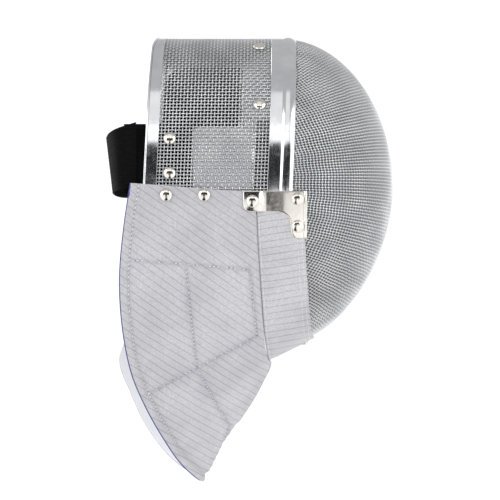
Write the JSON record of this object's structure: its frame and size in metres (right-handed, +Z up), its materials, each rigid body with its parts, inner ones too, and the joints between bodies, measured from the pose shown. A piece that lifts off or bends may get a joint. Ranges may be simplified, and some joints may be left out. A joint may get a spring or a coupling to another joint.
{
  "type": "fencing mask",
  "caption": "Wire-mesh face guard with polished edge strips, a quilted conductive bib under the chin, corner brackets, inner pads and an elastic strap behind the head.",
  "frame": {"origin": "the crown seat: the point inside the mask where the top of the wearer's head touches the crown pad", "axes": "+X out through the face, +Y to the wearer's left, +Z up"},
  "size_m": [0.2655, 0.2104, 0.4071],
  "materials": {
    "wire": "woven stainless wire, satin",
    "strip": "polished steel strip",
    "nickel": "polished nickel plate",
    "lame": "grey conductive cloth with fine dark pinstripes",
    "lining": "white woven lining",
    "binding": "blue edge binding",
    "webbing": "black elastic and hook-and-loop webbing",
    "pale_pad": "pale padded cloth",
    "dark_pad": "black padded cloth"
  },
  "bodies": {
    "root": {"face_mesh": "wire", "side_mesh": "wire", "rear_strip": "strip", "front_strip": "strip", "bib": "lame", "bib_lining": "lining", "bib_binding": "binding", "chin_strip": "lame", "strap_anchor_left": "webbing", "strap_anchor_right": "webbing", "head_strap": "webbing", "crown_pad": "pale_pad", "temple_pad_left": "dark_pad", "temple_pad_right": "dark_pad", "cheek_pad_left": "pale_pad", "cheek_pad_right": "pale_pad", "corner_bracket_left": "nickel", "corner_bracket_right": "nickel", "strap_rivet_upper_left": "nickel", "strap_rivet_upper_right": "nickel", "strap_rivet_lower_left": "nickel", "strap_rivet_lower_right": "nickel", "crown_rivet_left": "nickel", "crown_rivet_right": "nickel", "brow_rivet_left": "nickel", "brow_rivet_right": "nickel", "bib_rivet_rear_left": "nickel", "bib_rivet_rear_right": "nickel", "bib_rivet_front_left": "nickel", "bib_rivet_front_right": "nickel", "bracket_rivet_rear_left": "nickel", "bracket_rivet_rear_right": "nickel", "bracket_rivet_upper_left": "nickel", "bracket_rivet_upper_right": "nickel", "bracket_rivet_lower_left": "nickel", "bracket_rivet_lower_right": "nickel", "chin_rivet": "nickel"}
  },
  "joints": []
}
